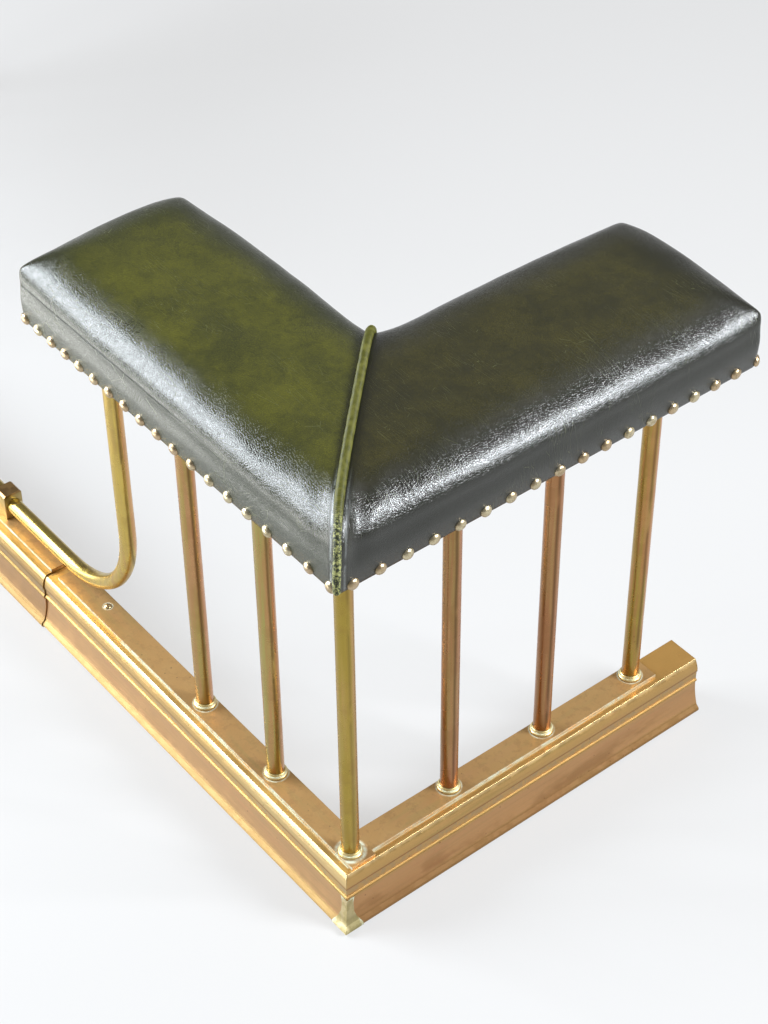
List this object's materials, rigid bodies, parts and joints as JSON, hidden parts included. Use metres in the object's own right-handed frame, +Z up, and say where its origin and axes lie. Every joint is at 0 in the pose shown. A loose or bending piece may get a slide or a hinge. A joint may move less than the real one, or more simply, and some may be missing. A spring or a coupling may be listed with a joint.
{
  "type": "fire fender",
  "caption": "Extending brass fireplace fender with moulded kerb, slim uprights, low rail and L-shaped corner seats in green leather with brass nails.",
  "frame": {"origin": "on the floor, under the middle of the whole fender's box", "axes": "+X along the front, to the right for someone facing the fire from the room; +Y towards the wall; +Z up"},
  "size_m": [1.5034, 0.4629, 0.4766],
  "materials": {
    "kerb_brass": "tarnished, satin",
    "bar_brass": "tarnished, satin, brownish",
    "tube_brass": "old polish, olive and copper tones",
    "collar_brass": "polished rings with verdigris in the grooves",
    "nail_brass": "antique, domed",
    "seat_leather": "dark green, hand-dyed, semi-gloss",
    "piping_leather": "lighter green, worn",
    "board_wood": "unfinished pine",
    "pad_fabric": "hair stuffing",
    "under_cloth": "black lining",
    "black_iron": "blackened",
    "plain_steel": "plain"
  },
  "bodies": {
    "centre_section": {"centre_kerb_sleeve": "kerb_brass", "centre_strip": "bar_brass", "centre_rail_tube": "tube_brass", "right_rail_block": "bar_brass", "left_rail_block": "bar_brass", "rail_block_dowels": "plain_steel"},
    "right_section": {"right_kerb_front": "kerb_brass", "right_kerb_return": "kerb_brass", "right_corner_cap": "collar_brass", "right_strip_front": "bar_brass", "right_strip_return": "bar_brass", "right_base_frame": "black_iron", "right_kerb_rivets": "collar_brass", "right_corner_upright": "tube_brass", "right_front_upright_1": "tube_brass", "right_front_upright_2": "tube_brass", "right_return_upright_1": "tube_brass", "right_return_upright_2": "tube_brass", "right_return_upright_3": "tube_brass", "right_rail_tube": "tube_brass", "right_collars": "collar_brass", "right_tie_rods": "plain_steel", "right_tie_nuts": "plain_steel", "right_seat_rail": "black_iron", "right_seat_board_front": "board_wood", "right_seat_board_return": "board_wood", "right_seat_screws": "plain_steel", "right_stuffing": "pad_fabric", "right_leather_front": "seat_leather", "right_leather_return": "seat_leather", "right_piping": "piping_leather", "right_upholstery_nails": "nail_brass", "right_dust_cloth": "under_cloth"},
    "left_section": {"left_kerb_front": "kerb_brass", "left_kerb_return": "kerb_brass", "left_corner_cap": "collar_brass", "left_strip_front": "bar_brass", "left_strip_return": "bar_brass", "left_base_frame": "black_iron", "left_kerb_rivets": "collar_brass", "left_corner_upright": "tube_brass", "left_front_upright_1": "tube_brass", "left_front_upright_2": "tube_brass", "left_return_upright_1": "tube_brass", "left_return_upright_2": "tube_brass", "left_return_upright_3": "tube_brass", "left_rail_tube": "tube_brass", "left_collars": "collar_brass", "left_tie_rods": "plain_steel", "left_tie_nuts": "plain_steel", "left_seat_rail": "black_iron", "left_seat_board_front": "board_wood", "left_seat_board_return": "board_wood", "left_seat_screws": "plain_steel", "left_stuffing": "pad_fabric", "left_leather_front": "seat_leather", "left_leather_return": "seat_leather", "left_piping": "piping_leather", "left_upholstery_nails": "nail_brass", "left_dust_cloth": "under_cloth"}
  },
  "joints": [
    {"name": "right_extension", "type": "slide", "parent": "centre_section", "child": "right_section", "axis": [1, 0, 0], "range_m": [-0.01, 0.13]},
    {"name": "left_extension", "type": "slide", "parent": "centre_section", "child": "left_section", "axis": [-1, 0, 0], "range_m": [-0.01, 0.13]}
  ]
}
